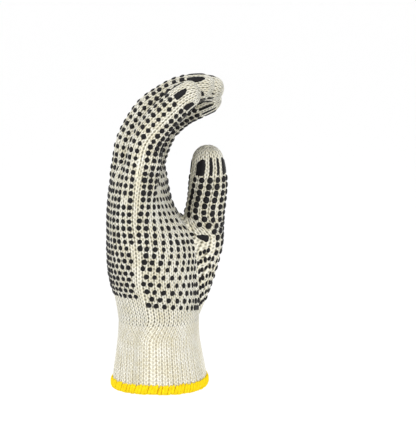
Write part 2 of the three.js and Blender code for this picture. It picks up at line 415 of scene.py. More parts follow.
stallPrint = {
    # distances past the join between which the hand's print turns into the stall's, and how far out it does
    "blendBetween": (-24, 7),
    "reach": 1.35,
    # the two middle stalls stand behind the palm's hollow, so they take in more of the cloth below them
    "inner": ("ring", "middle"),
    "innerBlendBetween": (-26.4, 7),
    "innerReach": 1.9,
}

webBulge = {
    # towards the thumb the cloth bulges out of the hand's section, and the print runs on over the bulge
    "shares": (0.3, 0.45),  # of the way round the palm
    "heights": (114, 122),
    "stretch": 20.0,
    "limit": 0.4,
}

rootPrint = {
    "top": 95.5,
    "bottom": 54.0,
    "rowGap": 5.85,
    "lowestRow": 56.0,
    "leanFrom": 91.1,
    "lean": 1.45,  # degrees per millimetre
    "firstAngle": -12.4,
    "columns": ((-13, -1), (-2, 0), (5.4, 1), (16, 2), (26.5, 3), (37.5, 4), (53, 5), (70, 6), (250, 16.3)),
    "rises": ((-2, 0), (5.4, 1.1), (16, 2.2), (26.5, 2.9), (37.5, 2.4), (53, 0)),
    "squeeze": (0.7, 1.04),
    "margin": 5.0,  # degrees before the first column
    "closest": 2.232,
}

# Zones of the print: 0 is the hand, 1 to 5 are the stalls in the order of their paths, then these
thumbZone = 5
rootZone = 6
bareZone = 7

bars = {
    # length of the bars and of the bare cap beyond them
    "ends": {"little": (10, 7), "ring": (12, 5), "middle": (13, 4), "index": (13, 4), "thumb": (13.5, 6.8)},
    "rowMargin": 2.6,  # from the last row of dots to the bars
    "wide": 32.0,  # degrees round the stall
    "thumbWide": 41.0,
    "thin": 11.0,
    "places": ((-51, "wide"), (-13, "thin"), (13, "thin"), (51, "wide")),
    "palmTurns": {"little": -12, "ring": -14, "middle": -60, "index": -50, "thumb": 0},
    "littleThinTurn": -25,  # of the thin bars on the little finger's back
    "backShorter": 3.0,  # of the bars on the backs of the middle and index fingers
    "littleRoll": 20,  # degrees that the little finger's print turns to the palm, towards its tip
    "rollBetween": (4, 42),
    "height": 0.8,
    "rim": 0.25,  # depth of the ink's edge in the cloth
    "sunk": 0.5,  # and of its underside
    "hidden": 1.2,
    "rayFrom": 1.8,
    # how round a bar is across and along, at its lower end and at its tip
    "across": (0.12, 0.5),
    "along": (0.12, 0.4),
}


def arcTables(sections, heights):
    # share of the way from the little finger's side to the index side, for each height and angle
    turns = np.linspace(-math.pi / 2, math.pi / 2, 121)
    shares, lengths = [], []
    for face in (1, -1):
        angles = turns if face > 0 else -math.pi - turns
        points = sectionPoint(sectionAt(sections, heights)[:, None, :], angles[None, :])
        steps = np.linalg.norm(np.diff(points, axis=1), axis=2)
        run = np.concatenate([np.zeros((len(heights), 1)), np.cumsum(steps, 1)], 1)
        shares.append(run / run[:, -1:])
        lengths.append(run[:, -1])
    return heights, shares, lengths


def seamTurn(z):
    # how far the side seam and its wales drift round the glove, towards the cuff and over it
    towardsCuff = knit["seamTurn"] * (1 - smoothStep(*knit["seamTurnBetween"], z))
    return np.radians(towardsCuff + cuff["twist"] * smoothStep(cuff["twistFrom"], cuff["twistTo"], z))


def roundFlow(points, sections, tables, turned):
    # which face a point is on, its share of the way round that face, the face's width and the reach
    heights, shares, lengths = tables
    z = np.clip(points[:, 2], heights[0], heights[-1])
    angle, reach = sectionAngle(sectionAt(sections, z), points)
    angle = angle + turned
    onPalm = np.cos(angle) >= 0
    turn = np.where(onPalm, angle, -math.pi - angle)
    turn = (turn + math.pi) % (2 * math.pi) - math.pi
    row = np.clip((z - heights[0]) / (heights[1] - heights[0]), 0, len(heights) - 1.001)
    column = np.clip((turn / math.pi + 0.5) * 120, 0, 119.999)
    i, j = row.astype(int), column.astype(int)
    a, b = row - i, column - j
    share = np.empty(len(points))
    length = np.empty(len(points))
    for face, table, total in ((True, shares[0], lengths[0]), (False, shares[1], lengths[1])):
        pick = onPalm == face
        ii, jj, aa, bb = i[pick], j[pick], a[pick], b[pick]
        low = table[ii, jj] * (1 - bb) + table[ii, jj + 1] * bb
        high = table[ii + 1, jj] * (1 - bb) + table[ii + 1, jj + 1] * bb
        share[pick] = low * (1 - aa) + high * aa
        length[pick] = total[ii] * (1 - aa) + total[ii + 1] * aa
    return onPalm, share, length, reach


def stallFlow(points, path):
    # distance along the stall, angle round it and distance from its middle line, in half widths
    centres = path["table"][::2, :3]
    nearest = np.empty(len(points), int)
    block = 20000  # points at a time, to save memory
    for start in range(0, len(points), block):
        offsets = points[start:start + block, None, :] - centres[None]
        nearest[start:start + block] = (offsets**2).sum(2).argmin(1) * 2
    centre, tangent, across, padward, half = np.split(path["table"][nearest], [3, 6, 9, 12], -1)
    offset = points - centre
    along = path["along"][nearest] + (offset * tangent).sum(1)
    side = (offset * across).sum(1) / half[:, 0]
    front = (offset * padward).sum(1) / half[:, 1]
    reach = np.sqrt(side**2 + front**2 + ((along - np.clip(along, 0, path["length"])) / half[:, 0]) ** 2)
    return along, np.arctan2(side, front), reach


def printTurn(rise):
    rises, turns = zip(*thumbPrint["turns"])
    return np.radians(np.interp(rise, rises, turns))


def rollAt(name, rise):
    return math.radians(bars["littleRoll"] * (name == "little")) * smoothStep(*bars["rollBetween"], rise)


def barStart(name):
    return paths[name]["length"] - paths[name]["join"] - sum(bars["ends"][name])


def handPrint(z, onPalm, arc, length):
    # row and column on the palm and the back
    row, column = np.empty(len(z)), np.empty(len(z))
    for plan, face in ((palmPrint, onPalm), (backPrint, ~onPalm)):
        away = arc[face] * plan["length"] / length[face]
        up = z[face]
        if plan is palmPrint:
            away = away / (1 + plan["spread"] * smoothStep(*plan["spreadBetween"], up))
            away = away - plan["shift"] * smoothStep(*plan["shiftBetween"], up)
            lift = plan["lift"] + plan["lowLift"] * (1 - smoothStep(*plan["lowLiftBetween"], up))
            up = up - lift * np.clip(1 - arc[face] / plan["liftReach"], 0, 1)
        row[face] = np.interp(up, *zip(*plan["rows"]))
        column[face] = np.interp(away, *zip(*plan["columns"]))
    return row, column


def rowPhase(rows, palmFace):
    shift = np.zeros(len(rows))
    for plan, face in ((palmPrint, palmFace), (backPrint, ~palmFace)):
        phases = np.array(plan["phases"] + (0.0,))
        shift[face] = phases[np.clip(rows[face], 0, len(phases) - 1).astype(int)]
    return shift


def nearestStall(points):
    # the stall that a point belongs to, how far its print has taken over, and the point's place on it
    part = np.zeros(len(points), int)
    best = np.full(len(points), 9.0)
    weight, rise, turn = np.zeros(len(points)), np.zeros(len(points)), np.zeros(len(points))
    for number, (name, path) in enumerate(paths.items(), 1):
        along, angle, reach = stallFlow(points, path)
        risen = along - path["join"]
        inner = name in stallPrint["inner"]
        if name == "thumb":
            blend = smoothStep(*thumbPrint["blendBetween"], risen)
            blend = blend * (1 - smoothStep(*thumbPrint["fadeBetween"], reach))
            onThumb = {"angle": np.degrees(angle), "reach": reach, "rise": risen}
            angle = angle - printTurn(risen)
        else:
            blend = smoothStep(*stallPrint["innerBlendBetween" if inner else "blendBetween"], risen)
            angle = angle - rollAt(name, risen)
        mine = (reach < best) & (reach < stallPrint["innerReach" if inner else "reach"]) & (blend > 0)
        best[mine] = reach[mine]
        part[mine] = number
        weight[mine] = blend[mine]
        rise[mine] = risen[mine]
        turn[mine] = angle[mine]
    return part, weight, rise, turn, onThumb


def runOntoStalls(flow, part, weight, fromSide, padSide):
    # the hand's wales, rows and columns turn into each stall's own
    for number, (name, path) in enumerate(paths.items(), 1):
        isThumb = name == "thumb"
        perFace = knit["walesPerThumb" if isThumb else "walesPerStall"]
        firstAngle = dots["thumbFirstAngle" if isThumb else "firstAngle"]
        angleStep = dots["thumbAngleStep" if isThumb else "angleStep"]
        rowGap = dots["thumbRowGap" if isThumb else "rowGap"]
        stallWale = perFace * fromSide / math.pi
        stallColumn = (np.degrees(fromSide) - firstAngle) / angleStep
        lastRow = (barStart(name) - bars["rowMargin"] - flow["rise"]) / rowGap
        for face in (True, False):
            pick = (part == number) & (padSide == face)
            # both prints are set against each other in the middle of the face, near the root
            centre = pick & (np.abs(fromSide - math.pi / 2) < 0.5)
            root = centre & (np.abs(weight - 0.4) < 0.3)
            if not root.any():
                root = centre & (flow["rise"] < np.min(flow["rise"][centre]) + 2)
            waleShift = round(float(np.median((flow["wale"] - stallWale)[root])))
            columnShift = round(float(np.median((flow["column"] - stallColumn)[root])))
            rowShift = round(float(np.median((flow["row"] + lastRow)[root])))
            # the outer stalls carry the wales of the hand's two side seams on
            if name == "little":
                waleShift, columnShift = 0, 0
            if name == "index":
                waleShift = knit["walesPerFace"] - perFace
            w = weight[pick]
            v = np.ones(len(w)) if isThumb else w
            flow["wale"][pick] = flow["wale"][pick] * (1 - w) + (stallWale[pick] + waleShift) * w
            flow["height"][pick] = flow["height"][pick] * (1 - w) + (path["joinZ"] + flow["rise"][pick]) * w
            flow["column"][pick] = (flow["column"][pick] - columnShift) * (1 - v) + stallColumn[pick] * v
            flow["row"][pick] = flow["row"][pick] * (1 - v) + (rowShift - lastRow[pick]) * v


def endThumbPrint(flow, handRow, handColumn, z, thumb, onTube):
    # the palm's print comes up to the end of the thumb's own, and the ball of the thumb has a third one
    angle, rise, zone = thumb["angle"], thumb["rise"], flow["zone"]
    nearThumb = thumb["reach"] < thumbPrint["reach"]
    thumbOrTube = (zone == thumbZone) | onTube
    border = np.interp(angle, *zip(*thumbPrint["border"]))
    leaning = rootPrint["firstAngle"] + rootPrint["lean"] * (rootPrint["leanFrom"] - z)
    offset = np.where(angle < thumbPrint["wrapBelow"], angle + 360, angle) - leaning
    zone[thumbOrTube & (rise < border + thumbPrint["bareStrip"])] = bareZone
    below = rise < border - thumbPrint["bareStrip"]
    palmSide = angle < np.maximum(thumbPrint["palmAngle"], leaning - rootPrint["margin"])
    palmSide &= angle > thumbPrint["wrapBelow"]
    back = below & thumbOrTube & (palmSide | (thumb["reach"] > thumbPrint["reach"]))
    zone[back] = 0
    underLeaf = (angle > thumbPrint["bareAngle"]) & (rise > thumbPrint["bareRise"])
    zone[back & underLeaf & nearThumb] = bareZone
    flow["row"][back], flow["column"][back] = handRow[back], handColumn[back]
    onRoot = onTube & below & (offset >= -rootPrint["margin"])
    onRoot &= (z < rootPrint["top"]) & (z > rootPrint["bottom"])
    zone[onRoot] = rootZone
    flow["column"][onRoot] = np.interp(offset, *zip(*rootPrint["columns"]))[onRoot]
    up = z - np.interp(offset, *zip(*rootPrint["rises"]))
    flow["row"][onRoot] = ((up - rootPrint["lowestRow"]) / rootPrint["rowGap"])[onRoot]
    return back, onRoot


def knitFlow(points):
    z = points[:, 2]
    tables = arcTables(hand["sections"], np.arange(36.0, 157.0, 2.0))
    onPalm, share, length, handReach = roundFlow(points, hand["sections"], tables, seamTurn(z))
    arc = share * length
    webShare = smoothStep(*webBulge["shares"], share) * (1 - smoothStep(*webBulge["heights"], z)) * onPalm
    arc = arc + webBulge["stretch"] * webShare * np.clip(handReach - 1, 0, webBulge["limit"])
    handRow, handColumn = handPrint(z, onPalm, arc, length)
    part, weight, rise, turn, thumb = nearestStall(points)
    padSide = np.cos(turn) >= 0
    fromSide = np.where(padSide, turn + math.pi / 2, (-math.pi / 2 - turn) % (2 * math.pi))
    flow = {
        "wale": knit["walesPerFace"] * share,
        "height": z.copy(),
        "row": handRow.copy(),
        "column": handColumn.copy(),
        "rise": rise,
        "zone": np.where((part == 0) & (length - arc < dots["bareEdge"]), bareZone, part),
    }
    runOntoStalls(flow, part, weight, fromSide, padSide)
    onTube = (thumb["reach"] < thumbPrint["reach"]) & (handReach > 1.0)
    back, onRoot = endThumbPrint(flow, handRow, handColumn, z, thumb, onTube)
    palmFace = np.where((weight > 0.5) & ~back, padSide, onPalm)
    flow["palmFace"] = palmFace | onRoot
    flow["wale"] = np.where(palmFace, flow["wale"], -flow["wale"])
    return flow


def writeFlow(mesh, flow):
    # one UV layer: wales across, courses along, each face unwrapped from its first corner
    layer = mesh.uv_layers.new(name="knitFlow")
    corners = np.empty(len(mesh.loops), int)
    mesh.loops.foreach_get("vertex_index", corners)
    starts = np.empty(len(mesh.polygons), int)
    totals = np.empty(len(mesh.polygons), int)
    mesh.polygons.foreach_get("loop_start", starts)
    mesh.polygons.foreach_get("loop_total", totals)
    first = np.repeat(flow["wale"][corners[starts]], totals)
    wale = flow["wale"][corners]
    wale = wale + np.round(first - wale)
    uv = np.stack([wale, flow["height"][corners] / knit["course"]], 1)
    layer.data.foreach_set("uv", uv.ravel())


# The knitted hand


def knitForm(inset, bottom):
    bm = bmesh.new()
    top = hand["sections"][-1][2] - inset
    heights = np.linspace(bottom, top, round((top - bottom) / hand["ringGap"]))
    rings = [(bottom, 0.0)] + [(z, 1.0) for z in heights] + [(top, 0.0)]
    addLoft(bm, hand["sides"], rings, lambda z, angle, share: sectionPoint(
        sectionAt(hand["sections"], z), angle, inset, share))
    for path in [*paths.values(), webPath]:
        addLoft(bm, stall["sides"], stallRings(path, inset), lambda along, angle, share: stallPoint(
            path, along, angle, inset, share))
    bmesh.ops.recalc_face_normals(bm, faces=bm.faces)
    return meshFrom(bm, "knitForm")


def remeshed(mesh, voxel):
    raw = bpy.data.objects.new("raw", mesh)
    bpy.context.collection.objects.link(raw)
    remesh = raw.modifiers.new("voxels", "REMESH")
    remesh.mode = "VOXEL"
    remesh.voxel_size = voxel * mm
    solid = bpy.data.meshes.new_from_object(raw.evaluated_get(bpy.context.evaluated_depsgraph_get()))
    bpy.data.objects.remove(raw)
    bpy.data.meshes.remove(mesh)
    return solid


def relax(mesh, share, rounds):
    points = pointsOf(mesh)
    edges = np.empty(len(mesh.edges) * 2, int)
    mesh.edges.foreach_get("vertices", edges)
    a, b = edges.reshape(-1, 2).T
    count = np.bincount(edges, minlength=len(points))
    for _ in range(rounds):
        for axis in range(3):
            values = points[:, axis]
            total = np.bincount(a, values[b], len(points)) + np.bincount(b, values[a], len(points))
            points[:, axis] = values + share * (total / count - values)
    mesh.vertices.foreach_set("co", points.ravel())
    mesh.update()


def cutAt(mesh, height):
    bm = bmesh.new()
    bm.from_mesh(mesh)
    everything = bm.verts[:] + bm.edges[:] + bm.faces[:]
    level = (0, 0, height * mm)
    bmesh.ops.bisect_plane(bm, geom=everything, plane_co=level, plane_no=(0, 0, 1), clear_inner=True)
    bmesh.ops.remove_doubles(bm, verts=bm.verts, dist=0.02 * mm)
    bm.to_mesh(mesh)
    bm.free()


def waleRelief(wale, depth):
    return depth * (np.abs(np.sin(math.pi * wale)) ** 0.8 - 0.6)


def makeKnitShell():
    outer = remeshed(knitForm(0.0, hand["sections"][0][2]), hand["voxel"])
    points = pointsOf(outer) / mm
    web = smoothStep(*hand["webFrom"], points[:, 2]) * (1 - smoothStep(*hand["webTo"], points[:, 2]))
    relax(outer, np.full(len(points), 0.5), hand["relaxRounds"])
    relax(outer, 0.5 * web, hand["webRounds"])
    cutAt(outer, hand["wrist"])
    points = pointsOf(outer) / mm
    flow = knitFlow(points)
    fade = smoothStep(hand["wrist"] - 0.5, hand["wrist"] + knit["cuffFade"], points[:, 2])
    depth = knit["cuffRelief"] + (1 - knit["cuffRelief"]) * fade
    points += normalsOf(outer) * (waleRelief(flow["wale"], knit["relief"]) * depth)[:, None]
    outer.vertices.foreach_set("co", (points * mm).ravel())
    outer.update()
    inner = remeshed(knitForm(hand["wall"], hand["sections"][0][2]), hand["innerVoxel"])
    cutAt(inner, hand["wrist"])
    bm = bmesh.new()
    bm.from_mesh(outer)
    bm.from_mesh(inner)
    rims = [edge for edge in bm.edges if edge.is_boundary]
    for edge in rims:
        edge.smooth = False
    bmesh.ops.triangle_fill(bm, use_beauty=True, use_dissolve=False, edges=rims)
    bmesh.ops.recalc_face_normals(bm, faces=bm.faces)
    return outer, flow, meshFrom(bm, "knitHand")


# Shader helpers


def calc(tree, operation, *values):
    node = tree.nodes.new("ShaderNodeMath")
    node.operation = operation
    for slotIndex, value in enumerate(values):
        if isinstance(value, (int, float)):
            node.inputs[slotIndex].default_value = value
        else:
            tree.links.new(value, node.inputs[slotIndex])
    return node.outputs[0]


def ramp(tree, value, low, high):
    node = tree.nodes.new("ShaderNodeMapRange")
    node.interpolation_type = "SMOOTHSTEP"
    node.inputs["From Min"].default_value = low
    node.inputs["From Max"].default_value = high
    tree.links.new(value, node.inputs["Value"])
    return node.outputs["Result"]


def noise(tree, coordinate, scale, detail=2.0, roughness=0.5):
    node = tree.nodes.new("ShaderNodeTexNoise")
    node.inputs["Scale"].default_value = scale
    node.inputs["Detail"].default_value = detail
    node.inputs["Roughness"].default_value = roughness
    tree.links.new(coordinate, node.inputs["Vector"])
    return node.outputs["Fac"]


def blendColours(tree, factor, first, second):
    node = tree.nodes.new("ShaderNodeMix")
    node.data_type = "RGBA"
    colours = [socket for socket in node.inputs if socket.type == "RGBA"]
    for socket, value in zip(colours, (first, second)):
        if isinstance(value, tuple):
            socket.default_value = (*value, 1)
        else:
            tree.links.new(value, socket)
    tree.links.new(factor, node.inputs["Factor"])
    return next(socket for socket in node.outputs if socket.type == "RGBA")


def newMaterial(name):
    made = bpy.data.materials.new(name)
    made.use_nodes = True
    return made, made.node_tree, made.node_tree.nodes["Principled BSDF"]


def addBump(tree, shader, height, distance, strength=1.0):
    node = tree.nodes.new("ShaderNodeBump")
    node.inputs["Distance"].default_value = distance
    node.inputs["Strength"].default_value = strength
    tree.links.new(height, node.inputs["Height"])
    tree.links.new(node.outputs["Normal"], shader.inputs["Normal"])


def stitchGroup():
    # flow x counts wales and flow y courses: every wale is two legs that swing in and out with the courses
    # Dash and Groove are painted shade for the base colour: Dash is the dark of the valley between two
    # wales, Groove the dark gap between a wale's two legs
    group = bpy.data.node_groups.new("knitStitches", "ShaderNodeTree")
    face = group.interface
    face.new_socket(name="Flow", in_out="INPUT", socket_type="NodeSocketVector")
    for name in ("Height", "DashShade", "GrooveShade"):
        face.new_socket(name=name, in_out="OUTPUT", socket_type="NodeSocketFloat")
    source = group.nodes.new("NodeGroupInput")
    result = group.nodes.new("NodeGroupOutput")
    split = group.nodes.new("ShaderNodeSeparateXYZ")
    group.links.new(source.outputs["Flow"], split.inputs[0])
    inWale = calc(group, "SUBTRACT", calc(group, "FRACT", split.outputs["X"]), 0.5)
    fromCentre = calc(group, "MULTIPLY", calc(group, "ABSOLUTE", inWale), 2.0)
    swing = calc(group, "COSINE", calc(group, "MULTIPLY", split.outputs["Y"], 2 * math.pi))
    legCentre = calc(group, "MULTIPLY_ADD", swing, 0.13, 0.5)
    offLeg = calc(group, "DIVIDE", calc(group, "SUBTRACT", fromCentre, legCentre), 0.5)
    leg = calc(group, "MAXIMUM", calc(group, "SUBTRACT", 1.0, calc(group, "MULTIPLY", offLeg, offLeg)), 0.0)
    lean = calc(group, "SUBTRACT", split.outputs["Y"], calc(group, "MULTIPLY", fromCentre, 0.55))
    stitch = calc(group, "ABSOLUTE", calc(group, "SINE", calc(group, "MULTIPLY", lean, math.pi)))
    swell = calc(group, "MULTIPLY_ADD", ramp(group, stitch, 0.0, 0.6), 0.35, 0.65)
    inward = calc(group, "MULTIPLY", swing, -1.0)
    # painted shade at the wale's edge where a leg swings in, and in the valley between wales
    edge = calc(group, "MULTIPLY", ramp(group, fromCentre, 0.55, 0.88), ramp(group, inward, -0.7, 0.5))
    valleyShade = calc(group, "MULTIPLY", ramp(group, fromCentre, 0.7, 0.98), 0.55)
    centre = calc(group, "SUBTRACT", 1.0, ramp(group, fromCentre, 0.05, 0.36))
    group.links.new(calc(group, "MULTIPLY", leg, swell), result.inputs["Height"])
    group.links.new(calc(group, "MAXIMUM", edge, valleyShade), result.inputs["DashShade"])
    group.links.new(calc(group, "MULTIPLY", centre, ramp(group, swing, -0.5, 0.8)), result.inputs["GrooveShade"])
    return group


yarn = {
    "patchScale": 110.0,
    "strandScale": 800.0,
    "fibreScale": 4200.0,
    "light": (0.95, 0.925, 0.82),
    "warm": (0.76, 0.70, 0.50),
    # painted shade: the tones that the hollows between and inside the wales are darkened to
    "paintedDashShade": (0.10, 0.08, 0.03),
    "cuffPaintedDashShade": (0.37, 0.29, 0.15),  # painted shade between the cuff's wales, lighter and warmer than on the hand
    "bump": 0.0011,
}


def knitMaterial(name, stitches, dashShadeShare, grooveShadeShare, shadeTone):
    made, tree, shader = newMaterial(name)
    flow = tree.nodes.new("ShaderNodeUVMap")
    flow.uv_map = "knitFlow"
    place = tree.nodes.new("ShaderNodeTexCoord").outputs["Object"]
    group = tree.nodes.new("ShaderNodeGroup")
    group.node_tree = stitches
    tree.links.new(flow.outputs["UV"], group.inputs["Flow"])
    patches = noise(tree, place, yarn["patchScale"])
    strands = noise(tree, place, yarn["strandScale"], 3.0, 0.6)
    fibres = noise(tree, place, yarn["fibreScale"], 2.0, 0.7)
    tone = calc(tree, "MULTIPLY_ADD", strands, 0.7, calc(tree, "MULTIPLY", patches, 0.4))
    base = blendColours(tree, ramp(tree, tone, 0.35, 0.75), yarn["warm"], yarn["light"])
    uneven = calc(tree, "MULTIPLY_ADD", ramp(tree, strands, 0.3, 0.7), 0.5, 0.6)
    # painted shade: the stitch hollows darken the yarn's base colour towards the shade tone
    paintedDashShade = calc(tree, "MULTIPLY", calc(tree, "MULTIPLY", group.outputs["DashShade"], dashShadeShare), uneven)
    grooveShade = calc(tree, "MULTIPLY", calc(tree, "MULTIPLY", group.outputs["GrooveShade"], grooveShadeShare), uneven)
    shade = calc(tree, "MINIMUM", calc(tree, "MAXIMUM", paintedDashShade, grooveShade), 1.0)
    tree.links.new(blendColours(tree, shade, base, shadeTone), shader.inputs["Base Color"])
    fuzz = calc(tree, "MULTIPLY_ADD", fibres, 0.2, calc(tree, "MULTIPLY", strands, 0.4))
    addBump(tree, shader, calc(tree, "ADD", group.outputs["Height"], fuzz), yarn["bump"])
    shader.inputs["Roughness"].default_value = 0.9
    shader.inputs["Specular IOR Level"].default_value = 0.2
    shader.inputs["Sheen Weight"].default_value = 0.6
    shader.inputs["Sheen Roughness"].default_value = 0.4
    shader.inputs["Sheen Tint"].default_value = (0.93, 0.97, 1.0, 1)
    return made


pvc = {
    "dark": (0.004, 0.004, 0.005),
    "worn": (0.011, 0.010, 0.011),
    "bump": 0.00015,
}


def pvcMaterial():
    made, tree, shader = newMaterial("blackPvc")
    place = tree.nodes.new("ShaderNodeTexCoord").outputs["Object"]
    cloud = noise(tree, place, 260.0, 2.0)
    grain = noise(tree, place, 2600.0, 2.0, 0.6)
    tone = blendColours(tree, cloud, pvc["dark"], pvc["worn"])
    tree.links.new(tone, shader.inputs["Base Color"])
    tree.links.new(calc(tree, "MULTIPLY_ADD", grain, 0.3, 0.25), shader.inputs["Roughness"])
    shader.inputs["Specular IOR Level"].default_value = 0.14
    addBump(tree, shader, grain, pvc["bump"], 0.6)
    return made


hemTones = {
    "strand": (0.93, 0.73, 0.012),
    "strandDeep": (0.88, 0.60, 0.01),
    # the hem core's tones, darker orange than the strands: painted shade in the gaps between the strands
    "gapShade": (0.84, 0.48, 0.01),
    "gapShadeDeep": (0.6, 0.28, 0.01),
    "speckScale": 330.0,
    "speckBetween": (0.73, 0.76),  # where the white knit shows between the threads
}


def hemMaterial(name, light, deep, ribScale):
    made, tree, shader = newMaterial(name)
    place = tree.nodes.new("ShaderNodeTexCoord").outputs["Object"]
    cloud = noise(tree, place, 420.0, 3.0, 0.6)
    fibres = noise(tree, place, ribScale, 2.0, 0.7)
    thread = blendColours(tree, ramp(tree, cloud, 0.3, 0.7), deep, light)
    speck = ramp(tree, noise(tree, place, hemTones["speckScale"], 1.0), *hemTones["speckBetween"])
    tree.links.new(blendColours(tree, speck, thread, yarn["light"]), shader.inputs["Base Color"])
    addBump(tree, shader, fibres, 0.0006, 0.9)
    shader.inputs["Roughness"].default_value = 0.8
    shader.inputs["Specular IOR Level"].default_value = 0.04
    return made


stitches = stitchGroup()
handYarn = knitMaterial("handYarn", stitches, 1.0, 0.72, yarn["paintedDashShade"])
cuffYarn = knitMaterial("cuffYarn", stitches, 0.75, 0.5, yarn["cuffPaintedDashShade"])
blackPvc = pvcMaterial()
yellowThread = hemMaterial("yellowThread", hemTones["strand"], hemTones["strandDeep"], 3000.0)
# the band under the strands is painted in shade tones
hemCore = hemMaterial("hemCore", hemTones["gapShade"], hemTones["gapShadeDeep"], 1500.0)
print("materials made")

outerShell, shellFlow, knitMesh = makeKnitShell()
writeFlow(knitMesh, knitFlow(pointsOf(knitMesh) / mm))
piece("knitHand", knitMesh, handYarn, "knit", "hand_body", "little_finger", "ring_finger",
      "middle_finger", "index_finger", "thumb")
print("knitted hand:", len(knitMesh.polygons), "faces")


# The ribbed cuff


def makeCuff():
    top, bottom = hand["wrist"], cuff["bottom"]
    heights = np.linspace(top, bottom, round((top - bottom) / cuff["ringGap"]))
    inside = heights[::-1][::3]
    sides = 2 * knit["walesPerFace"] * cuff["pointsPerWale"]
    rings = [(z, 0.0) for z in heights] + [(z, cuff["wall"]) for z in inside]
    rings = rings + [rings[0]]
    tables = arcTables(cuff["sections"], np.arange(0.0, 47.0, 2.0))

    def waleOf(points):
        onPalm, share, _, _ = roundFlow(points, cuff["sections"], tables, seamTurn(points[:, 2]))
        return np.where(onPalm, share, -share) * knit["walesPerFace"]

    def place(z, angle, inset):
        section = sectionAt(cuff["sections"], z)
        wale = waleOf(sectionPoint(section, angle).reshape(-1, 3)).reshape(z.shape)
        depth = 1 - smoothStep(*cuff["furrowBetween"], z)
        rib = cuff["furrow"] * depth * (np.abs(np.cos(math.pi * wale / 2)) ** 0.6 - 0.75)
        relief = waleRelief(wale, knit["relief"] * (knit["cuffRelief"] + 0.3 * depth)) + rib
        return sectionPoint(section, angle, inset - relief * np.where(inset > 0, cuff["insideRelief"], 1.0))

    bm = bmesh.new()
    addLoft(bm, sides, rings, place)
    bmesh.ops.recalc_face_normals(bm, faces=bm.faces)
    for edge in bm.edges:
        edge.smooth = min(vert.co.z for vert in edge.verts) < (top - 0.01) * mm
    mesh = meshFrom(bm, "ribCuff")
    points = pointsOf(mesh) / mm
    writeFlow(mesh, {"wale": waleOf(points), "height": points[:, 2]})
    return piece("ribCuff", mesh, cuffYarn, "rib", "rib_cuff")


ribCuff = makeCuff()
print("cuff:", len(ribCuff.data.polygons), "faces")


# Copies of one small mesh, joined


def copies(name, template, matrices):
    base = pointsOf(template)
    faces = [tuple(face.vertices) for face in template.polygons]
    turned = np.einsum("nij,kj->nki", matrices[:, :3, :3], base) + matrices[:, None, :3, 3]
    joined = []
    for start in range(0, len(matrices) * len(base), len(base)):
        joined.extend(tuple(corner + start for corner in face) for face in faces)
    mesh = bpy.data.meshes.new(name)
    mesh.from_pydata(turned.reshape(-1, 3).tolist(), [], joined)
    return mesh


def frameMatrix(place, out, up, size=(1, 1, 1)):
    across = np.cross(up, out)
    across /= np.linalg.norm(across)
    up = np.cross(out, across)
    matrix = np.eye(4)
    matrix[:3, 0], matrix[:3, 1], matrix[:3, 2] = across * size[0], up * size[1], out * size[2]
    matrix[:3, 3] = place
    return matrix


# The yellow overlock

hem = {
    "height": 6.5,
    "strands": 94,
    "strandRadius": 1.28,
    "flatness": 0.58,  # of a strand's thickness to its width
    "thread": 0.62,  # from the cloth's face to a strand's middle
    "lean": 1.9,  # sideways run of a strand from the lower edge to the upper one
    "bandTop": 5.6,
    "turnHeight": 1.3,  # where a strand turns round the cloth's edge
    "sideShare": 0.35,  # of a strand's length that lies on each face
    "tuck": 0.2,  # how far its ends dip into the cloth
}


def hemCourse(share):
    # round the cloth's edge from the inner face to the outer one: outward from the cuff's face, and height
    half = cuff["wall"] / 2 + hem["thread"]
    low, end = hem["turnHeight"], hem["sideShare"]
    if end <= share <= 1 - end:
        turn = math.pi * (share - end) / (1 - 2 * end)
        return -cuff["wall"] / 2 - half * math.cos(turn), low - low * math.sin(turn)
    side = (1 - share / end) if share < end else (share + end - 1) / end
    out = half - (hem["thread"] + hem["tuck"]) * side**4
    return -cuff["wall"] / 2 + (out if share > 0.5 else -out), low + (hem["height"] - low) * side


def strandMesh():
    shares = np.linspace(0, 1, 19)
    middle = np.array([(0.0, *hemCourse(s)) for s in shares])
    middle[:, 0] = hem["lean"] * (middle[:, 2] / hem["height"] - 0.5) * np.where(shares > 0.5, 1, -1)
    runs = unit(np.gradient(middle, axis=0))
    side = unit(np.array((1, 0, 0)) - runs * runs[:, :1])
    out = np.cross(side, runs)
    taper = np.sqrt(np.clip(1 - (2 * shares - 1) ** 12, 0.02, 1))
    last = len(shares) - 1
    rings = [(0.0, 0.0)] + [(float(k), taper[k]) for k in range(last + 1)] + [(float(last), 0.0)]

    def place(number, angle, share):
        k = number.astype(int)
        swell = hem["strandRadius"] * share[..., None]
        sideways = side[k] * np.sin(angle)[..., None] * swell
        return middle[k] + sideways + out[k] * np.cos(angle)[..., None] * swell * hem["flatness"]

    bm = bmesh.new()
    addLoft(bm, 6, rings, place)
    bmesh.ops.recalc_face_normals(bm, faces=bm.faces)
    return meshFrom(bm, "strand")


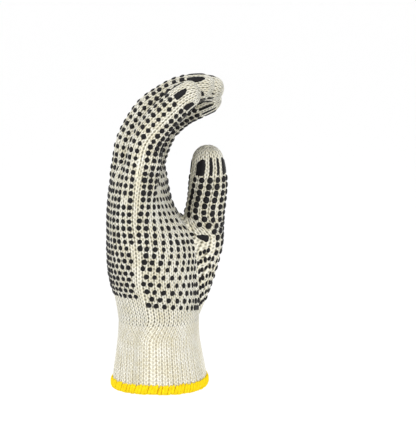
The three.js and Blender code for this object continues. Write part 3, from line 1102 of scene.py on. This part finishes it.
def makeHem():
    template = strandMesh()
    foot = sectionAt(cuff["sections"], np.array(3.0))
    matrices = []
    turns = np.linspace(-math.pi, math.pi, 721)
    edge = sectionPoint(foot, turns)
    run = np.concatenate([[0], np.cumsum(np.linalg.norm(np.diff(edge, axis=0), axis=1))])
    for number in range(hem["strands"]):
        here = (number + chance.uniform(-0.12, 0.12)) * run[-1] / hem["strands"]
        place = np.array([np.interp(here, run, edge[:, k]) for k in range(3)])
        ahead = np.array([np.interp((here + 1) % run[-1], run, edge[:, k]) for k in range(3)])
        tangent = unit(ahead - place)
        out = np.cross(tangent, (0, 0, 1))
        matrix = np.eye(4)
        size = chance.uniform(0.9, 1.12)
        matrix[:3, 0] = tangent * size
        matrix[:3, 1] = out
        matrix[:3, 2] = (0, 0, chance.uniform(0.92, 1.06))
        matrix[:3, 3] = (place[0] * mm, place[1] * mm, chance.uniform(-0.25, 0.2) * mm)
        matrices.append(matrix)
    piece("hemStrands", copies("hemStrands", template, np.array(matrices)), yellowThread, "hem")
    bm = bmesh.new()
    courses = [hemCourse(s) for s in np.linspace(0, 1, 15)]
    rings = [(z * hem["bandTop"] / hem["height"], -out + 0.15) for out, z in courses]
    rings = rings + [(rings[-1][0], 0.5 * cuff["wall"]), rings[0]]
    addLoft(bm, 120, rings, lambda z, angle, inset: sectionPoint(
        sectionAt(cuff["sections"], z), angle, inset) * (1, 1, 0) + np.stack([0 * z, 0 * z, z], -1))
    bmesh.ops.recalc_face_normals(bm, faces=bm.faces)
    piece("hemBand", meshFrom(bm, "hemBand"), hemCore, "hem", "overlock_hem")


makeHem()
print("hem made")


# PVC dots and fingertip bars


def dotSpots(mesh, flow):
    # a dot sits wherever a whole row meets a whole column inside one of the mesh's triangles
    mesh.calc_loop_triangles()
    corners = np.empty(len(mesh.loop_triangles) * 3, int)
    mesh.loop_triangles.foreach_get("vertices", corners)
    corners = corners.reshape(-1, 3)
    row, column = flow["row"][corners], flow["column"][corners]
    zone, face = flow["zone"][corners], flow["palmFace"][corners]
    same = (zone.max(1) == zone.min(1)) & (face.min(1) == face.max(1)) & (zone[:, 0] < bareZone)
    same &= (np.ptp(column, axis=1) < dots["steepest"]) & (np.ptp(row, axis=1) < dots["steepest"])
    spotR = np.ceil(row.min(1))
    same &= spotR <= row.max(1)
    onHand = zone[:, 0] == 0
    shift = np.where(onHand, rowPhase(spotR, face[:, 0]), 0.0)
    spotC = np.ceil(column.min(1) - shift) + shift
    same &= spotC <= column.max(1)
    onStall = (zone[:, 0] > 0) & (zone[:, 0] < rootZone)
    # a stall's columns end at its sides, but below the two middle stalls the palm's columns run on
    free = ((zone[:, 0] == 2) | (zone[:, 0] == 3)) & (flow["rise"][corners[:, 0]] < dots["runOnBelow"])
    first = np.where(onHand & (shift > 0), dots["firstShifted"], dots["firstColumn"])
    same &= free | (spotC > first) & (onStall | (spotR >= 0))
    same &= free | ~onStall | (spotC < dots["columnsPerStall"] - 0.5)
    c, r, spotC, spotR, corners = column[same], row[same], spotC[same], spotR[same], corners[same]
    area = (c[:, 1] - c[:, 0]) * (r[:, 2] - r[:, 0]) - (c[:, 2] - c[:, 0]) * (r[:, 1] - r[:, 0])
    area = np.where(np.abs(area) < 1e-9, 1e-9, area)
    b = ((spotC - c[:, 0]) * (r[:, 2] - r[:, 0]) - (c[:, 2] - c[:, 0]) * (spotR - r[:, 0])) / area
    d = ((c[:, 1] - c[:, 0]) * (spotR - r[:, 0]) - (spotC - c[:, 0]) * (r[:, 1] - r[:, 0])) / area
    inside = (b >= -1e-6) & (d >= -1e-6) & (b + d <= 1 + 1e-6)
    shares = np.stack([1 - b - d, b, d], 1)[inside]
    corners = corners[inside]
    points = (pointsOf(mesh)[corners] * shares[..., None]).sum(1)
    normals = unit((normalsOf(mesh)[corners] * shares[..., None]).sum(1))
    rise = (flow["rise"][corners] * shares).sum(1)
    zone, face = flow["zone"][corners[:, 0]], flow["palmFace"][corners[:, 0]]
    size = np.where(zone == thumbZone, dots["thumbSize"], np.where(face, 1.0, dots["backSize"]))
    bent = face & (zone < thumbZone) & (points[:, 2] > dots["bendFrom"] * mm) & (rise < dots["bendTo"])
    size[bent & ((zone > 1) | (spotC[inside] > dots["bendColumn"]))] = dots["bendSize"]
    return points, normals, zone, face, rise, size


def dotMesh():
    bm = bmesh.new()
    bmesh.ops.create_uvsphere(bm, u_segments=10, v_segments=6, radius=dots["radius"] * mm)
    low = -dots["foot"] * dots["radius"] * mm
    for vert in bm.verts:
        vert.co.z = max(vert.co.z, low) * dots["height"] / dots["radius"] + dots["raised"] * mm
    bmesh.ops.remove_doubles(bm, verts=bm.verts, dist=0.01 * mm)
    return meshFrom(bm, "dot")


def makeDots(mesh, flow):
    points, normals, zone, palmFace, rise, sizes = dotSpots(mesh, flow)
    keep = np.ones(len(points), bool)
    for number, name in enumerate(paths, 1):
        keep &= ~((zone == number) & (rise > barStart(name) - bars["rowMargin"] + 0.5))
    chosen = []
    for index in np.flatnonzero(keep):
        apart = (rootPrint if zone[index] == rootZone else dots)["closest"] * mm
        if chosen and np.min(np.sum((points[chosen] - points[index]) ** 2, 1)) < apart**2:
            continue
        chosen.append(index)
    template = dotMesh()
    for name, face in (("palmDots", True), ("backDots", False)):
        matrices = []
        for index in chosen:
            if palmFace[index] != face:
                continue
            size = sizes[index] * chance.uniform(*dots["uneven"])
            wide, tall = chance.uniform(*dots["uneven"], 2) * size
            up = np.array((dots["slant"] * chance.normal(), dots["slant"] * chance.normal(), 1.0))
            y, z = points[index][1:] / mm
            if face and zone[index] == 0 and dots["hollowFrom"] < z and y > dots["hollowSide"]:
                wide *= dots["hollowWide"]
            if zone[index] == rootZone:
                wide, tall = wide * rootPrint["squeeze"][0], tall * rootPrint["squeeze"][1]
            matrices.append(frameMatrix(points[index], normals[index], up, (wide, tall, size)))
        piece(name, copies(name, template, np.array(matrices)), blackPvc, "dots")
        print(name, len(matrices))


def ontoCloth(tree, path, along, angle, depth):
    # the cloth's face, met by a ray that starts just outside the stall
    surface = stallPoint(path, np.array(along), np.array(angle))
    out = unit(surface - readPath(path, np.array(along))[0])
    above = bars["rayFrom"]
    start = Vector((surface + out * above) * mm)
    place, normal, _, _ = tree.ray_cast(start, Vector(-out), (above + depth) * mm)
    if place is None or normal.dot(Vector(out)) < 0.2:
        # another stall covers this spot, so the ink ends inside it
        place, normal = Vector((surface - out * bars["hidden"]) * mm), Vector(out)
    return place, normal


def addInk(bm, columns, rows, spotAt):
    # a thin raised patch: its face, its underside in the cloth and the rim between them
    loops = []
    for underside in (False, True):
        made = bmesh.ops.create_grid(bm, x_segments=columns, y_segments=rows, size=1)
        for vert in made["verts"]:
            place, normal, lift = spotAt(vert.co.x, vert.co.y)
            vert.co = place + normal * (-bars["sunk"] if underside else lift) * mm
        loops += [edge for vert in made["verts"] for edge in vert.link_edges if edge.is_boundary]
    bmesh.ops.bridge_loops(bm, edges=list(set(loops)))


def addBar(bm, tree, path, angle, lean, width, start, end):
    # lean is 1 or -1 where the bar's outer side ends short of its tip, and 0 where both sides are even
    wobble = chance.uniform(-1, 1, 4)

    def spotAt(x, y):
        narrow, blunt = bars["across"][y >= 0], bars["along"][y >= 0]
        across = x * math.sqrt(1 - narrow * y * y) * (1 + 0.1 * wobble[0] * math.sin(3 * y + wobble[1]))
        run = y * math.sqrt(1 - blunt * x * x) * (1 + 0.07 * wobble[2] * math.sin(4 * x + wobble[3]))
        run -= 0.1 * (run + 1) * (lean * x + 1) * abs(lean)
        along = path["join"] + (start + end) / 2 + (end - start) / 2 * run
        turn = math.radians(angle + width / 2 * across)
        if path is paths["thumb"]:
            turn += float(printTurn(along - path["join"]))
        place, normal = ontoCloth(tree, path, along, turn, bars["hidden"])
        edge = max(abs(x), abs(y))
        return place, normal, bars["height"] * math.sqrt(max(0.0, 1 - edge**5)) - bars["rim"]

    addInk(bm, 10, 16, spotAt)


leaf = {
    # a spill of ink at the thumb's root, pointed towards the palm
    "angles": (-29, 6),
    "rises": (-7.0, -8.3),
    "half": 2.9,
    "height": 0.7,
    "rim": 0.2,
    "depth": 3.2,  # of the fold that the ink may lie in
}


def addLeaf(bm, tree):
    path = paths["thumb"]

    def spotAt(x, y):
        share = (x + 1) / 2
        half = leaf["half"] * math.sqrt(share) * math.sqrt(max(0.0, 1 - max(0.0, 2 * x - 1) ** 2)) + 0.1
        wobble = 1 + 0.08 * math.sin(7 * x + 2 * y)
        angle = leaf["angles"][0] + (leaf["angles"][1] - leaf["angles"][0]) * share
        rise = leaf["rises"][0] + (leaf["rises"][1] - leaf["rises"][0]) * share + half * wobble * y
        place, normal = ontoCloth(tree, path, path["join"] + rise, math.radians(angle), leaf["depth"])
        edge = max(abs(y), max(0.0, 2 * x - 1), max(0.0, -x) ** 4)
        return place, normal, leaf["height"] * math.sqrt(max(0.0, 1 - edge**4)) - leaf["rim"]

    addInk(bm, 18, 10, spotAt)


def makeBars(mesh):
    tree = BVHTree.FromPolygons([v.co for v in mesh.vertices], [tuple(p.vertices) for p in mesh.polygons])
    for name, face in (("palmBars", 0), ("backBars", 180)):
        bm = bmesh.new()
        for stallName, path in paths.items():
            start = barStart(stallName)
            shift = bars["palmTurns"][stallName] if face == 0 else 0
            for angle, kind in bars["places"]:
                lean = (angle > 0) - (angle < 0) if kind == "wide" else 0
                widthName = "thumbWide" if lean and stallName == "thumb" else kind
                width = bars[widthName] * chance.uniform(0.9, 1.1)
                end = start + bars["ends"][stallName][0] * chance.uniform(0.93, 1.05)
                if face and stallName in ("middle", "index"):
                    end -= bars["backShorter"]
                if face and stallName == "little" and kind == "thin":
                    angle += bars["littleThinTurn"]
                roll = math.degrees(rollAt(stallName, start))
                addBar(bm, tree, path, face + angle + shift + roll, lean, width, start, end)
        if face == 0:
            addLeaf(bm, tree)
        bmesh.ops.recalc_face_normals(bm, faces=bm.faces)
        piece(name, meshFrom(bm, name), blackPvc, "dots")


makeDots(outerShell, shellFlow)
makeBars(outerShell)
print("pvc made")


# Floor, light and camera

studio = {
    "floorDrop": 0.3,
    "floorSize": 140.0,
    "floorTone": (0.95, 0.95, 0.95),
    "world": 1.05,
    "aim": (0, 0, 0.11),
    # power, size and place of each soft light, in metres
    "lights": {
        "key": (4.5, 0.7, (-0.4, -0.75, 1.3)),
        "fill": (4.5, 0.9, (0.9, -0.8, 0.4)),
        "rim": (3.5, 0.9, (-1.1, -0.35, 0.5)),
    },
}


def makeFloor():
    bm = bmesh.new()
    bmesh.ops.create_grid(bm, x_segments=1, y_segments=1, size=studio["floorSize"] / 2)
    for vert in bm.verts:
        vert.co.z = -studio["floorDrop"]
    floor = bpy.data.objects.new("floor", meshFrom(bm, "floor"))
    bpy.context.collection.objects.link(floor)
    made, _, shader = newMaterial("paleFloor")
    shader.inputs["Base Color"].default_value = (*studio["floorTone"], 1)
    shader.inputs["Roughness"].default_value = 0.9
    shader.inputs["Specular IOR Level"].default_value = 0.1
    floor.data.materials.append(made)


def addLight(name, power, size, place):
    data = bpy.data.lights.new(name, "AREA")
    data.energy = power
    data.shape = "DISK"
    data.size = size
    light = bpy.data.objects.new(name, data)
    bpy.context.collection.objects.link(light)
    light.location = place
    light.rotation_euler = (Vector(studio["aim"]) - Vector(place)).to_track_quat("-Z", "Y").to_euler()


def lightStudio():
    world = bpy.data.worlds.new("studio")
    world.use_nodes = True
    background = world.node_tree.nodes["Background"]
    background.inputs["Color"].default_value = (1, 1, 1, 1)
    background.inputs["Strength"].default_value = studio["world"]
    bpy.context.scene.world = world
    for name, values in studio["lights"].items():
        addLight(name, *values)
    bpy.context.scene.view_settings.view_transform = "Standard"


photo = {
    "azimuth": 8.0,
    "elevation": 8.0,
    "distance": 1.2,
    "focal": 1714.0,  # pixels
    "width": 416,
    "height": 441,
    "originPixel": (160.0, 383.0),  # where the centre of the wrist opening shows
}


def aimCamera():
    a, e = math.radians(photo["azimuth"]), math.radians(photo["elevation"])
    back = Vector((math.sin(a) * math.cos(e), -math.cos(a) * math.cos(e), math.sin(e)))
    right = Vector((math.cos(a), math.sin(a), 0))
    up = back.cross(right)
    metresPerPixel = photo["distance"] / photo["focal"]
    target = right * (photo["width"] / 2 - photo["originPixel"][0]) * metresPerPixel
    target += up * (photo["originPixel"][1] - photo["height"] / 2) * metresPerPixel
    data = bpy.data.cameras.new("photoCamera")
    data.sensor_width = 36
    data.lens = photo["focal"] / photo["height"] * data.sensor_width
    camera = bpy.data.objects.new("photoCamera", data)
    bpy.context.collection.objects.link(camera)
    camera.matrix_world = Matrix.Translation(target + back * photo["distance"]) @ Matrix(
        (right, up, back)).transposed().to_4x4()
    bpy.context.scene.camera = camera


makeFloor()
lightStudio()
aimCamera()
print("studio made")
